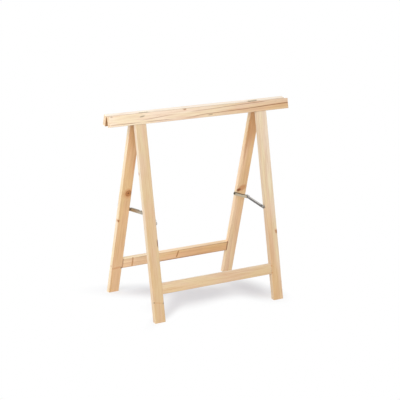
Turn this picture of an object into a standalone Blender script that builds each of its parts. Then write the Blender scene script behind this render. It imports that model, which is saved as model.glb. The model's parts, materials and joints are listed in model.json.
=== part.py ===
# Folding wooden trestle: two batten frames, hinged along the top and held open by two folding stays.
# Units are metres. X runs along the rails, -Y is the front frame's side, and +Z is up.
# The floor is Z = 0, and the origin is on it, under the middle of the trestle.
import math

import bmesh
import bpy
from mathutils import Matrix, Vector

# Overall sizes
RAIL_LENGTH = 0.775
HEIGHT = 0.750
LEAN = math.radians(13.1)

# Running gap between neighbouring pieces
CLEARANCE = 0.0003

# Timber, all planed to one thickness
BATTEN_THICKNESS = 0.018
RAIL_HEIGHT = 0.040
LEG_WIDTH = 0.043
STRETCHER_HEIGHT = 0.040
LEG_INSET = 0.104
FRONT_STRETCHER_RISE = 0.103
REAR_STRETCHER_RISE = 0.1076
ARRIS = 0.0012
ARRIS_STEPS = 2

# Dowels in the butt joints
DOWEL_RADIUS = 0.004
DOWEL_LENGTH = 0.040
DOWEL_CHAMFER = 0.0008
LEG_DOWEL_SPACING = 0.022
STRETCHER_DOWEL_SPACING = 0.020

# Butt hinges between the two rails
HINGE_LENGTH = 0.038
HINGE_INSET = 0.151
KNUCKLES = 5
KNUCKLE_RADIUS = 0.0024
PIN_RADIUS = 0.0011
LEAF_THICKNESS = 0.001
LEAF_DEPTH = 0.020
LEAF_SCREW_SPACING = 0.024
LEAF_SCREW_RADIUS = 0.0014
LEAF_SCREW_HEAD_RADIUS = 0.0027
LEAF_SCREW_HEAD_HEIGHT = 0.0013
LEAF_SCREW_RIM = 0.0002
LEAF_SCREW_LENGTH = 0.0135

# Folding stays on the inner sides of the legs
PIVOT_REACH = 0.408
STAY_RISE = 0.012
ARM_WIDTH = 0.0130
ARM_THICKNESS = 0.0015
ARM_FLANGE = 0.0075
ARM_BEND_RADIUS = 0.0016
RELIEF_WIDTH = 0.0010
RELIEF_DEPTH = 0.0026
FLANGE_SETBACK = 0.00225
FLANGE_END_GAP = 0.0036
REAR_FLANGE_CUT = 0.0320
TAB_START = 0.0070
TAB_LENGTH = 0.0055
TAB_BEND_RADIUS = 0.0002
RIVET_RADIUS = 0.00175
RIVET_HEAD_RADIUS = 0.0034
RIVET_HEAD_HEIGHT = 0.0014
WASHER_RADIUS = 0.0048
WASHER_THICKNESS = 0.002
STAY_SCREW_RADIUS = 0.002
STAY_SCREW_HEAD_RADIUS = 0.0040
STAY_SCREW_HEAD_HEIGHT = 0.0022
STAY_SCREW_LENGTH = 0.022

# Cross recess of every screw, as shares of the head
RECESS_REACH = 0.62
RECESS_HALF_WIDTH = 0.13
RECESS_DEPTH = 0.55

# Pan head from its flat top down to its rim, as shares of the head's radius and height
PAN_HEAD_SHAPE = ((0.66, 1.0), (0.86, 0.86), (0.97, 0.58), (1.0, 0.25))

# Point of a wood screw: share of the shank's radius, and shank radii above the tip
POINT_SHAPE = ((1.0, 2.5), (0.35, 0.3))

# Share of the rivet head's height that is a straight rim
RIVET_RIM = 0.25

# Facets round a circle, and steps along a bend, a rivet's dome and an arm's round end
ROUND = 16
FINE_ROUND = 24
BEND_STEPS = 3
DOME_STEPS = 4
END_STEPS = 8

# On a round piece, edges sharper than the first angle stay sharp; on a dowel, only the rims pass the second
SMOOTH_ANGLE = math.radians(35)
RIM_ANGLE = math.radians(60)

# Points closer than this are one point
MERGE_DISTANCE = 0.00001

FRONT = -1
REAR = 1
SIDE_NAMES = {FRONT: "front", REAR: "rear"}
LEFT = -1
RIGHT = 1
HAND_NAMES = {LEFT: "left", RIGHT: "right"}

# Places that follow from the sizes, in a frame that hangs straight down from the hinge axis at Y = Z = 0
PIN_HEIGHT = HEIGHT - KNUCKLE_RADIUS
INNER_FACE = LEAF_THICKNESS + 2 * CLEARANCE
OUTER_FACE = INNER_FACE + BATTEN_THICKNESS
MID_FACE = INNER_FACE + BATTEN_THICKNESS / 2
RAIL_TOP = -(KNUCKLE_RADIUS + CLEARANCE)
RAIL_BOTTOM = RAIL_TOP - RAIL_HEIGHT
LEG_TOP = RAIL_BOTTOM - CLEARANCE
LEG_OUTER_SIDE = RAIL_LENGTH / 2 - LEG_INSET
LEG_INNER_SIDE = LEG_OUTER_SIDE - LEG_WIDTH
LEG_MIDDLE = LEG_OUTER_SIDE - LEG_WIDTH / 2
FOOT = -(PIN_HEIGHT + OUTER_FACE * math.sin(LEAN)) / math.cos(LEAN)
STRETCHER_MIDDLES = {
    FRONT: FOOT + FRONT_STRETCHER_RISE + STRETCHER_HEIGHT / 2,
    REAR: FOOT + REAR_STRETCHER_RISE + STRETCHER_HEIGHT / 2,
}

# Stay linkage when open: both arms rise a little from their pivots to the middle rivet
PIVOT_SPREAD = PIVOT_REACH * math.sin(LEAN) + MID_FACE * math.cos(LEAN)
ARM_REACH = math.hypot(PIVOT_SPREAD, STAY_RISE)
ARM_SLOPE = math.atan2(STAY_RISE, PIVOT_SPREAD)

# The folded edge of an arm, from its pivot: it starts past the round end, and stops short of the rivet
FLANGE_START = ARM_WIDTH / 2 + FLANGE_SETBACK + RELIEF_WIDTH
FLANGE_STOPS = {
    FRONT: ARM_REACH - RIVET_HEAD_RADIUS - FLANGE_END_GAP,
    REAR: ARM_REACH - REAR_FLANGE_CUT,
}

# Distances of the stay's layers from the leg's inner side
REAR_ARM_LAYER = WASHER_THICKNESS + 2 * CLEARANCE
ARM_LAYERS = {FRONT: REAR_ARM_LAYER + ARM_THICKNESS + CLEARANCE, REAR: REAR_ARM_LAYER}

# The stop tab rests a clearance above the rear arm's upper edge
TAB_LEVEL = (ARM_WIDTH / 2 + CLEARANCE) / math.cos(2 * ARM_SLOPE) - TAB_START * math.tan(2 * ARM_SLOPE)


def clear_scene():
    """Remove every object that the file holds at the start."""
    for obj in list(bpy.data.objects):
        bpy.data.objects.remove(obj, do_unlink=True)


def new_collection(name):
    collection = bpy.data.collections.new(name)
    bpy.context.scene.collection.children.link(collection)
    return collection


def new_material(name, colour, roughness, metallic):
    material = bpy.data.materials.new(name)
    material.use_nodes = True
    shader = material.node_tree.nodes["Principled BSDF"]
    shader.inputs["Base Color"].default_value = (*colour, 1.0)
    shader.inputs["Roughness"].default_value = roughness
    shader.inputs["Metallic"].default_value = metallic
    material.diffuse_color = (*colour, 1.0)
    return material


def place(name, mesh, parent, location, rotation=(0.0, 0.0, 0.0)):
    """Make an object from a mesh and put it in its parent's space."""
    obj = bpy.data.objects.new(name, mesh)
    obj.parent = parent
    obj.location = location
    obj.rotation_euler = rotation
    return obj


def add_piece(name, mesh, material, parent, location, rotation=(0.0, 0.0, 0.0)):
    """A visible piece with a material of its own."""
    obj = place(name, mesh, parent, location, rotation)
    if not mesh.materials:
        mesh.materials.append(material)
    obj.material_slots[0].link = "OBJECT"
    obj.material_slots[0].material = material
    trestle.objects.link(obj)
    return obj


def add_cutter(name, mesh, parent, location, rotation=(0.0, 0.0, 0.0)):
    """A helper that only cuts other pieces."""
    obj = place(name, mesh, parent, location, rotation)
    obj.hide_render = True
    obj.display_type = "WIRE"
    cutters.objects.link(obj)
    return obj


def cut(obj, cutter):
    """Take the cutter's space out of the object."""
    modifier = obj.modifiers.new(cutter.name, "BOOLEAN")
    modifier.operation = "DIFFERENCE"
    modifier.solver = "EXACT"
    modifier.object = cutter


def join(obj, addition):
    """Fuse the addition's space with the object."""
    modifier = obj.modifiers.new(addition.name, "BOOLEAN")
    modifier.operation = "UNION"
    modifier.solver = "EXACT"
    modifier.object = addition


def box_mesh(name, size):
    mesh = bpy.data.meshes.new(name)
    shape = bmesh.new()
    bmesh.ops.create_cube(shape, size=1.0, matrix=Matrix.Diagonal((*size, 1.0)))
    shape.to_mesh(mesh)
    shape.free()
    return mesh


def cylinder_mesh(name, radius, length, axis="Z", segments=ROUND):
    """A capped cylinder about the named axis."""
    turn = {"X": Matrix.Rotation(math.pi / 2, 4, "Y"), "Z": Matrix.Identity(4)}[axis]
    mesh = bpy.data.meshes.new(name)
    shape = bmesh.new()
    bmesh.ops.create_cone(
        shape,
        cap_ends=True,
        segments=segments,
        radius1=radius,
        radius2=radius,
        depth=length,
        matrix=turn,
    )
    shape.to_mesh(mesh)
    shape.free()
    return mesh


def smooth_round_sides(mesh):
    mesh.shade_smooth()
    mesh.set_sharp_from_angle(angle=SMOOTH_ANGLE)


def finished_mesh(obj, name, helpers=()):
    """Bake an object's modifiers into a new mesh, and remove the object and its helpers."""
    bpy.context.view_layer.update()
    evaluated = obj.evaluated_get(bpy.context.evaluated_depsgraph_get())
    mesh = bpy.data.meshes.new_from_object(evaluated)
    mesh.name = name
    for used in (obj, *helpers):
        bpy.data.objects.remove(used, do_unlink=True)
    return mesh


def outline_mesh(name, points, thickness):
    """A flat outline in XY, filled and given its thickness along Z."""
    curve = bpy.data.curves.new(name, "CURVE")
    curve.dimensions = "2D"
    curve.fill_mode = "BOTH"
    curve.extrude = thickness / 2
    spline = curve.splines.new("POLY")
    spline.points.add(len(points) - 1)
    for point, (x, y) in zip(spline.points, points):
        point.co = (x, y, 0.0, 1.0)
    spline.use_cyclic_u = True
    outline = place(name, curve, None, (0.0, 0.0, 0.0))
    cutters.objects.link(outline)
    mesh = finished_mesh(outline, name)
    shape = bmesh.new()
    shape.from_mesh(mesh)
    bmesh.ops.remove_doubles(shape, verts=shape.verts, dist=MERGE_DISTANCE)
    bmesh.ops.recalc_face_normals(shape, faces=shape.faces)
    shape.to_mesh(mesh)
    shape.free()
    return mesh


def turned_object(name, profile, closed=False, segments=ROUND):
    """Spin a profile of (radius, height) points, listed down the outer side, about Z."""
    mesh = bpy.data.meshes.new(name)
    points = [(radius, 0.0, height) for radius, height in profile]
    edges = [(index, index + 1) for index in range(len(points) - 1)]
    if closed:
        edges.append((len(points) - 1, 0))
    mesh.from_pydata(points, edges, [])
    obj = place(name, mesh, None, (0.0, 0.0, 0.0))
    cutters.objects.link(obj)
    screw = obj.modifiers.new("turn", "SCREW")
    screw.steps = segments
    screw.render_steps = segments
    screw.use_merge_vertices = True
    screw.merge_threshold = MERGE_DISTANCE
    return obj


def turned_mesh(name, profile, closed=False, segments=ROUND):
    mesh = finished_mesh(turned_object(name, profile, closed, segments), name)
    smooth_round_sides(mesh)
    return mesh


def cross_outline(reach, half_width):
    """The twelve corners of a plus sign."""
    points = []
    for quarter in range(4):
        turn = Matrix.Rotation(quarter * math.pi / 2, 2)
        for corner in ((reach, -half_width), (reach, half_width), (half_width, half_width)):
            points.append(turn @ Vector(corner))
    return points


def recessed_mesh(name, profile, head_radius, head_top, head_height):
    """A turned screw with a cross recess in its head."""
    screw = turned_object(name, profile)
    outline = cross_outline(head_radius * RECESS_REACH, head_radius * RECESS_HALF_WIDTH)
    cross = outline_mesh(name + "_cross", outline, 2 * head_height * RECESS_DEPTH)
    recess = add_cutter(name + "_recess", cross, None, (0.0, 0.0, head_top))
    cut(screw, recess)
    mesh = finished_mesh(screw, name, [recess])
    smooth_round_sides(mesh)
    return mesh


def pointed_shank(radius, length):
    """The lower part of a wood screw's profile."""
    point = [(share * radius, above * radius - length) for share, above in POINT_SHAPE]
    return [*point, (0.0, -length)]


def countersunk_screw_mesh():
    """Head top at zero, tip below."""
    profile = [
        (0.0, 0.0),
        (LEAF_SCREW_HEAD_RADIUS, 0.0),
        (LEAF_SCREW_HEAD_RADIUS, -LEAF_SCREW_RIM),
        (LEAF_SCREW_RADIUS, -LEAF_SCREW_HEAD_HEIGHT),
        *pointed_shank(LEAF_SCREW_RADIUS, LEAF_SCREW_LENGTH),
    ]
    return recessed_mesh("leaf_screw", profile, LEAF_SCREW_HEAD_RADIUS, 0.0, LEAF_SCREW_HEAD_HEIGHT)


def pan_head_screw_mesh():
    """Underside of the head at zero, tip below."""
    radius = STAY_SCREW_HEAD_RADIUS
    height = STAY_SCREW_HEAD_HEIGHT
    profile = [
        (0.0, height),
        *((out * radius, up * height) for out, up in PAN_HEAD_SHAPE),
        (radius, 0.0),
        (STAY_SCREW_RADIUS, 0.0),
        *pointed_shank(STAY_SCREW_RADIUS, STAY_SCREW_LENGTH),
    ]
    return recessed_mesh("stay_screw", profile, radius, height, height)


def rivet_half_mesh():
    """A low domed head at zero and up, and the shank through one arm below it."""
    radius = RIVET_HEAD_RADIUS
    height = RIVET_HEAD_HEIGHT
    shank = ARM_THICKNESS + CLEARANCE
    profile = [(0.0, height)]
    for step in range(1, DOME_STEPS):
        angle = step * math.pi / 2 / DOME_STEPS
        profile.append((radius * math.sin(angle), height * math.cos(angle)))
    profile += [(radius, RIVET_RIM * height), (radius, 0.0)]
    profile += [(RIVET_RADIUS, 0.0), (RIVET_RADIUS, -shank), (0.0, -shank)]
    return turned_mesh("rivet_half", profile)


def washer_mesh(side):
    """The flat ring between an arm and its leg, with its underside at zero."""
    thickness = ARM_LAYERS[side] - 2 * CLEARANCE
    bore = STAY_SCREW_RADIUS + CLEARANCE
    ring = [(WASHER_RADIUS, thickness), (WASHER_RADIUS, 0.0), (bore, 0.0), (bore, thickness)]
    return turned_mesh(f"{SIDE_NAMES[side]}_washer", ring, closed=True)


def batten(name, size, grain, parent, location):
    """A planed batten whose long edges, along the grain axis, are eased."""
    mesh = box_mesh(name, size)
    shape = bmesh.new()
    shape.from_mesh(mesh)
    weight = shape.edges.layers.float.new("bevel_weight_edge")
    for edge in shape.edges:
        run = edge.verts[1].co - edge.verts[0].co
        edge[weight] = float(run[grain] != 0.0)
    shape.to_mesh(mesh)
    shape.free()
    obj = add_piece(name, mesh, pine, parent, location)
    bevel = obj.modifiers.new("arris", "BEVEL")
    bevel.limit_method = "WEIGHT"
    bevel.width = ARRIS
    bevel.segments = ARRIS_STEPS
    return obj


def add_dowel(name, parent, location, axis, first, second):
    """A dowel across the joint between two pieces, and its bore in both of them."""
    mesh = cylinder_mesh(name, DOWEL_RADIUS, DOWEL_LENGTH, axis)
    dowel = add_piece(name, mesh, beech, parent, location)
    chamfer = dowel.modifiers.new("chamfer", "BEVEL")
    chamfer.limit_method = "ANGLE"
    chamfer.angle_limit = RIM_ANGLE
    chamfer.width = DOWEL_CHAMFER
    chamfer.segments = 1
    smooth_round_sides(mesh)
    bore = cylinder_mesh(name + "_bore", DOWEL_RADIUS + CLEARANCE, DOWEL_LENGTH + 2 * CLEARANCE, axis)
    cutter = add_cutter(name + "_bore", bore, parent, location)
    cut(first, cutter)
    cut(second, cutter)


def add_leg(side, hand, parent, rail, floor):
    """A leg that butts against the rail's underside and stands level on the floor."""
    name = f"{SIDE_NAMES[side]}_{HAND_NAMES[hand]}_leg"
    length_before_cut = LEG_TOP - FOOT + BATTEN_THICKNESS
    middle = (hand * LEG_MIDDLE, side * MID_FACE, LEG_TOP - length_before_cut / 2)
    leg = batten(name, (LEG_WIDTH, BATTEN_THICKNESS, length_before_cut), 2, parent, middle)
    cut(leg, floor)
    for word, offset in (("inner", -1), ("outer", 1)):
        x = hand * (LEG_MIDDLE + offset * LEG_DOWEL_SPACING / 2)
        joint = (x, side * MID_FACE, RAIL_BOTTOM - CLEARANCE / 2)
        add_dowel(f"{name}_{word}_dowel", parent, joint, "Z", leg, rail)
    return leg


def add_stretcher(side, parent, legs):
    """The low rail between the legs of one frame."""
    name = f"{SIDE_NAMES[side]}_stretcher"
    size = (2 * (LEG_INNER_SIDE - CLEARANCE), BATTEN_THICKNESS, STRETCHER_HEIGHT)
    stretcher = batten(name, size, 0, parent, (0.0, side * MID_FACE, STRETCHER_MIDDLES[side]))
    for hand, leg in legs.items():
        for word, offset in (("lower", -1), ("upper", 1)):
            x = hand * (LEG_INNER_SIDE - CLEARANCE / 2)
            z = STRETCHER_MIDDLES[side] + offset * STRETCHER_DOWEL_SPACING / 2
            dowel = f"{name}_{HAND_NAMES[hand]}_{word}_dowel"
            add_dowel(dowel, parent, (x, side * MID_FACE, z), "X", stretcher, leg)


def knuckle_span(index):
    """The middle and length of one knuckle along the hinge."""
    pitch = (HINGE_LENGTH + CLEARANCE) / KNUCKLES
    return -HINGE_LENGTH / 2 + pitch * index + (pitch - CLEARANCE) / 2, pitch - CLEARANCE


def leaf_outline(own):
    """The flat leaf in X and Z: a plate with a tongue up into each of its own knuckles."""
    end = HINGE_LENGTH / 2
    top = RAIL_TOP - CLEARANCE
    points = [(-end, -LEAF_DEPTH), (end, -LEAF_DEPTH), (end, top)]
    for index in sorted(own, reverse=True):
        middle, length = knuckle_span(index)
        half = length / 2 - CLEARANCE
        points += [(middle + half, top), (middle + half, 0.0)]
        points += [(middle - half, 0.0), (middle - half, top)]
    points.append((-end, top))
    return points


def leaf_mesh(side, screw_hole):
    """One hinge leaf: plate, rolled knuckles round the pin, and two countersunk holes."""
    own = range(0, KNUCKLES, 2) if side == FRONT else range(1, KNUCKLES, 2)
    name = f"{SIDE_NAMES[side]}_leaf"
    flat = outline_mesh(name, leaf_outline(own), LEAF_THICKNESS)
    flat.transform(Matrix.Rotation(math.pi / 2, 4, "X"))
    flat.transform(Matrix.Translation((0.0, side * (CLEARANCE + LEAF_THICKNESS / 2), 0.0)))
    leaf = place(name, flat, None, (0.0, 0.0, 0.0))
    cutters.objects.link(leaf)
    knuckles = []
    for index in own:
        middle, length = knuckle_span(index)
        barrel = cylinder_mesh("knuckle", KNUCKLE_RADIUS, length, "X", FINE_ROUND)
        knuckles.append(add_cutter(f"{name}_knuckle_{index}", barrel, None, (middle, 0.0, 0.0)))
    bore = cylinder_mesh("pin_bore", PIN_RADIUS + CLEARANCE, 2 * HINGE_LENGTH, "X", FINE_ROUND)
    holes = [add_cutter(name + "_bore", bore, None, (0.0, 0.0, 0.0))]
    for word, spot, turn in leaf_screw_places(side):
        holes.append(add_cutter(f"{name}_{word}_hole", screw_hole, None, spot, turn))
    for knuckle in knuckles:
        join(leaf, knuckle)
    for hole in holes:
        cut(leaf, hole)
    mesh = finished_mesh(leaf, name, knuckles + holes)
    smooth_round_sides(mesh)
    return mesh


def leaf_screw_places(side):
    """Name, head place and turn of the two screws in a leaf, about the hinge's own middle."""
    height = (RAIL_TOP - LEAF_DEPTH) / 2
    turn = (side * math.pi / 2, 0.0, 0.0)
    for word, offset in (("left", -1), ("right", 1)):
        yield word, Vector((offset * LEAF_SCREW_SPACING / 2, side * CLEARANCE, height)), turn


def leaf_screw_hole_mesh():
    """The space that a leaf screw needs in the leaf and in the rail."""
    head = LEAF_SCREW_HEAD_RADIUS + CLEARANCE
    shank = LEAF_SCREW_RADIUS + CLEARANCE
    profile = [
        (0.0, CLEARANCE),
        (head, CLEARANCE),
        (head, -LEAF_SCREW_RIM),
        (shank, -LEAF_SCREW_HEAD_HEIGHT - CLEARANCE / 2),
        (shank, -LEAF_SCREW_LENGTH - CLEARANCE),
        (0.0, -LEAF_SCREW_LENGTH - CLEARANCE),
    ]
    return turned_mesh("leaf_screw_hole", profile)


def add_hinge(hand, meshes, frames, rails):
    """A butt hinge: two leaves screwed to the rails' inner faces, and the pin in their knuckles."""
    name = f"{HAND_NAMES[hand]}_hinge"
    middle = Vector((hand * (RAIL_LENGTH / 2 - HINGE_INSET), 0.0, 0.0))
    for side in (FRONT, REAR):
        word = SIDE_NAMES[side]
        add_piece(f"{name}_{word}_leaf", meshes[side], hinge_steel, frames[side], middle)
        for spot_name, spot, turn in leaf_screw_places(side):
            screw_name = f"{name}_{word}_{spot_name}_screw"
            add_piece(screw_name, meshes["screw"], screw_steel, frames[side], middle + spot, turn)
            cutter = add_cutter(screw_name + "_hole", meshes["hole"], frames[side], middle + spot, turn)
            cut(rails[side], cutter)
    add_piece(f"{name}_pin", meshes["pin"], screw_steel, frames[FRONT], middle)


def half_turn(centre, radius, start):
    """Points on a half circle in (along, up), turning clockwise from the start angle."""
    for step in range(END_STEPS + 1):
        angle = start - step * math.pi / END_STEPS
        yield (centre + radius * math.cos(angle), radius * math.sin(angle))


def relief(position, level, width):
    """A notch in an upper edge beside a bend, listed along the arm."""
    return [
        (position, level),
        (position, level - RELIEF_DEPTH),
        (position + width, level - RELIEF_DEPTH),
        (position + width, level),
    ]


def arm_outline(side):
    """The arm's flat web in (along, up) from its pivot, and which of its edges are folded."""
    top = ARM_WIDTH / 2
    notch = RELIEF_WIDTH
    points = list(half_turn(0.0, top, -math.pi / 2))
    points += relief(FLANGE_START - notch, top, notch)
    flange = (len(points) - 1, len(points))
    points += relief(FLANGE_STOPS[side], top, notch)
    tab = None
    if side == FRONT:
        tab_start = ARM_REACH + TAB_START
        tab_end = tab_start + TAB_LENGTH
        points += [(tab_start - notch, top), (tab_start - notch, TAB_LEVEL - RELIEF_DEPTH)]
        points += [(tab_start, TAB_LEVEL - RELIEF_DEPTH), (tab_start, TAB_LEVEL)]
        tab = (len(points) - 1, len(points))
        points += [(tab_end, TAB_LEVEL), (tab_end, TAB_LEVEL - RELIEF_DEPTH)]
        points += [(tab_end - notch, -top)]
    else:
        points += list(half_turn(ARM_REACH, top, math.pi / 2))
    return points, flange, tab


def arm_mesh(side, hand, bores):
    """A pressed steel arm: a flat web with one edge folded away from the leg, bored at both ends."""
    points, flange, tab = arm_outline(side)
    away = -hand
    along = -side
    shape = bmesh.new()
    web = shape.faces.new([shape.verts.new((0.0, along * s, up)) for s, up in points])
    corners = list(web.verts)
    weight = shape.edges.layers.float.new("bevel_weight_edge")
    folds = [(flange, away * ARM_FLANGE, ARM_BEND_RADIUS)]
    if tab:
        folds.append((tab, -away * (ARM_THICKNESS + CLEARANCE), TAB_BEND_RADIUS))
    for (first, second), reach, radius in folds:
        edge = shape.edges.get((corners[first], corners[second]))
        edge[weight] = radius / ARM_BEND_RADIUS
        moved = bmesh.ops.extrude_edge_only(shape, edges=[edge])["geom"]
        fresh = [item for item in moved if isinstance(item, bmesh.types.BMVert)]
        bmesh.ops.translate(shape, verts=fresh, vec=(reach, 0.0, 0.0))
    bmesh.ops.recalc_face_normals(shape, faces=shape.faces)
    web.normal_update()
    if web.normal.x * away > 0:
        bmesh.ops.reverse_faces(shape, faces=shape.faces)
    name = f"{HAND_NAMES[hand]}_{SIDE_NAMES[side]}_arm"
    mesh = bpy.data.meshes.new(name)
    shape.to_mesh(mesh)
    shape.free()
    arm = place(name, mesh, None, (0.0, 0.0, 0.0))
    cutters.objects.link(arm)
    bend = arm.modifiers.new("bend", "BEVEL")
    bend.limit_method = "WEIGHT"
    bend.width = ARM_BEND_RADIUS
    bend.segments = BEND_STEPS
    sheet = arm.modifiers.new("sheet", "SOLIDIFY")
    sheet.thickness = ARM_THICKNESS
    sheet.offset = -1.0
    sheet.use_even_offset = True
    holes = [add_cutter(f"{name}_bore", bore, None, (0.0, along * s, 0.0)) for s, bore in bores.items()]
    for hole in holes:
        cut(arm, hole)
    finished = finished_mesh(arm, name, holes)
    smooth_round_sides(finished)
    return finished


def pivot_spot(side, hand, distance):
    """A point on an arm's pivot axis, at a distance from the leg's inner side."""
    return Vector((hand * (LEG_INNER_SIDE - distance), side * MID_FACE, -PIVOT_REACH))


def add_stay_screw(side, hand, name, meshes, frame, leg):
    """The screw that an arm turns on, the washer between arm and leg, and the pilot hole in the leg."""
    facing_out = (0.0, -hand * math.pi / 2, 0.0)
    under_head = ARM_LAYERS[side] + ARM_THICKNESS + CLEARANCE
    spot = pivot_spot(side, hand, under_head)
    add_piece(f"{name}_screw", meshes["screw"], screw_steel, frame, spot, facing_out)
    spot = pivot_spot(side, hand, CLEARANCE)
    add_piece(f"{name}_washer", meshes["washers"][side], zinc_steel, frame, spot, facing_out)
    depth = STAY_SCREW_LENGTH - under_head + CLEARANCE
    pilot = cylinder_mesh("pilot", STAY_SCREW_RADIUS + CLEARANCE, 2 * depth, "X")
    cut(leg, add_cutter(f"{name}_pilot", pilot, frame, pivot_spot(side, hand, 0.0)))


def add_arm(side, hand, name, meshes, frame):
    """An arm, raised to its open place, with its half of the middle rivet."""
    spot = pivot_spot(side, hand, ARM_LAYERS[side])
    turn = (-side * (ARM_SLOPE + LEAN), 0.0, 0.0)
    mesh = arm_mesh(side, hand, meshes["bores"])
    arm = add_piece(f"{name}_{SIDE_NAMES[side]}_arm", mesh, zinc_steel, frame, spot, turn)
    half, head_x, facing = {
        FRONT: ("head", -hand * (ARM_THICKNESS + CLEARANCE), -hand),
        REAR: ("tail", hand * CLEARANCE, hand),
    }[side]
    rivet_turn = (0.0, facing * math.pi / 2, 0.0)
    rivet_spot = (head_x, -side * ARM_REACH, 0.0)
    add_piece(f"{name}_rivet_{half}", meshes["rivet"], zinc_steel, arm, rivet_spot, rivet_turn)


def add_stay(hand, meshes, frames, legs):
    """A folding stay: one arm from each leg, riveted together in the middle."""
    name = f"{HAND_NAMES[hand]}_stay"
    for side in (FRONT, REAR):
        add_arm(side, hand, name, meshes, frames[side])
        add_stay_screw(side, hand, f"{name}_{SIDE_NAMES[side]}", meshes, frames[side], legs[side][hand])


def hinge_meshes():
    hole = leaf_screw_hole_mesh()
    pin = cylinder_mesh("hinge_pin", PIN_RADIUS, HINGE_LENGTH, "X")
    smooth_round_sides(pin)
    return {
        FRONT: leaf_mesh(FRONT, hole),
        REAR: leaf_mesh(REAR, hole),
        "screw": countersunk_screw_mesh(),
        "hole": hole,
        "pin": pin,
    }


def stay_meshes():
    """Shapes that every stay shares; an arm's two bores are keyed by their place along it."""
    bores = {
        place_along: cylinder_mesh("arm_bore", radius + CLEARANCE, 4 * ARM_THICKNESS, "X")
        for place_along, radius in ((0.0, STAY_SCREW_RADIUS), (ARM_REACH, RIVET_RADIUS))
    }
    return {
        "bores": bores,
        "screw": pan_head_screw_mesh(),
        "rivet": rivet_half_mesh(),
        "washers": {side: washer_mesh(side) for side in (FRONT, REAR)},
    }


def add_frame(side, floor):
    """One batten frame, drawn flat and then leaned about the hinge axis."""
    word = SIDE_NAMES[side]
    frame = place(f"{word}_frame_pivot", None, None, (0.0, 0.0, PIN_HEIGHT), (side * LEAN, 0.0, 0.0))
    trestle.objects.link(frame)
    rail_place = (0.0, side * MID_FACE, (RAIL_TOP + RAIL_BOTTOM) / 2)
    rail = batten(f"{word}_rail", (RAIL_LENGTH, BATTEN_THICKNESS, RAIL_HEIGHT), 0, frame, rail_place)
    legs = {hand: add_leg(side, hand, frame, rail, floor) for hand in (LEFT, RIGHT)}
    add_stretcher(side, frame, legs)
    return frame, rail, legs


clear_scene()
trestle = new_collection("wooden_trestle")
cutters = new_collection("cutters")

pine = new_material("pine", (0.74, 0.53, 0.31), 0.62, 0.0)
beech = new_material("beech", (0.66, 0.44, 0.26), 0.60, 0.0)
zinc_steel = new_material("zinc_steel", (0.52, 0.53, 0.52), 0.38, 1.0)
hinge_steel = new_material("hinge_steel", (0.40, 0.38, 0.34), 0.42, 1.0)
screw_steel = new_material("screw_steel", (0.58, 0.56, 0.50), 0.32, 1.0)

# The floor cutter levels the feet
floor_size = (2 * RAIL_LENGTH, 2 * HEIGHT, 4 * BATTEN_THICKNESS)
floor = add_cutter("floor", box_mesh("floor", floor_size), None, (0.0, 0.0, -floor_size[2] / 2))

frames = {}
rails = {}
legs = {}
for side in (FRONT, REAR):
    frames[side], rails[side], legs[side] = add_frame(side, floor)

hinge_parts = hinge_meshes()
stay_parts = stay_meshes()
for hand in (LEFT, RIGHT):
    add_hinge(hand, hinge_parts, frames, rails)
    add_stay(hand, stay_parts, frames, legs)
bpy.context.view_layer.update()
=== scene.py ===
# %% [markdown]
# # A folding trestle of pine battens
#
# Two frames of planed battens lean on each other. Hinges join them along the top, and a folding steel
# stay on each side holds them open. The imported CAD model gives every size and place, so it is loaded
# first and stays as it is. Everything below either finishes a CAD part or builds a finer piece where that
# part sits.

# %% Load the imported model
import json
import math
import bpy
from mathutils import Matrix, Quaternion, Vector

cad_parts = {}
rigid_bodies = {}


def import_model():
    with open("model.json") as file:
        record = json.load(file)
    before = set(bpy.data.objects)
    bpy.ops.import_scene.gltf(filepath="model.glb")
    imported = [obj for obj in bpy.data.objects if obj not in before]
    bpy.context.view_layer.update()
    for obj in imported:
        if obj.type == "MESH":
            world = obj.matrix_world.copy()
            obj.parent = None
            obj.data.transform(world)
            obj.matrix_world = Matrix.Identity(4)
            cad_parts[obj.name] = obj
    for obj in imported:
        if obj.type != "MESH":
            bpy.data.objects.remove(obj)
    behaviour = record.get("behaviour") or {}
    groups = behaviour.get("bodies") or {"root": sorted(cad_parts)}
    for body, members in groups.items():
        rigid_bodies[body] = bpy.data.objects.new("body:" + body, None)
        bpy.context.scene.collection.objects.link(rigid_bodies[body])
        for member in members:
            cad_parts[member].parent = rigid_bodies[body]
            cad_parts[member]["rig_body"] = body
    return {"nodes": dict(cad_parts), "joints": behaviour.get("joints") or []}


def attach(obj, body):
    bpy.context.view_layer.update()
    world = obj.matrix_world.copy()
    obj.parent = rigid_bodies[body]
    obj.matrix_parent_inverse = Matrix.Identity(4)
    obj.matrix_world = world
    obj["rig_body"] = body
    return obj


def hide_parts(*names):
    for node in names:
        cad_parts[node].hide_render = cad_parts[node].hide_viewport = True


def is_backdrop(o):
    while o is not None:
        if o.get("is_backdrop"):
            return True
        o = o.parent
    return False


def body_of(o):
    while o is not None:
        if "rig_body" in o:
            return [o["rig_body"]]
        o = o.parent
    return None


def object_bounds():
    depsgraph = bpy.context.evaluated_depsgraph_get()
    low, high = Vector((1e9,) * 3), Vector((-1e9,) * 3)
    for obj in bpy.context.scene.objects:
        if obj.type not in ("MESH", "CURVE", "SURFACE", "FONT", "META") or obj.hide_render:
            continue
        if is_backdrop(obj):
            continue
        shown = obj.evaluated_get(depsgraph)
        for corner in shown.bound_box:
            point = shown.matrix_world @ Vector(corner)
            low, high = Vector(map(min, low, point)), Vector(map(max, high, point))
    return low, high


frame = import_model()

cad_low, cad_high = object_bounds()
nodes = frame["nodes"]
print("CAD nodes:", len(nodes), "box:", [round(side, 4) for side in cad_high - cad_low])

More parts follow.
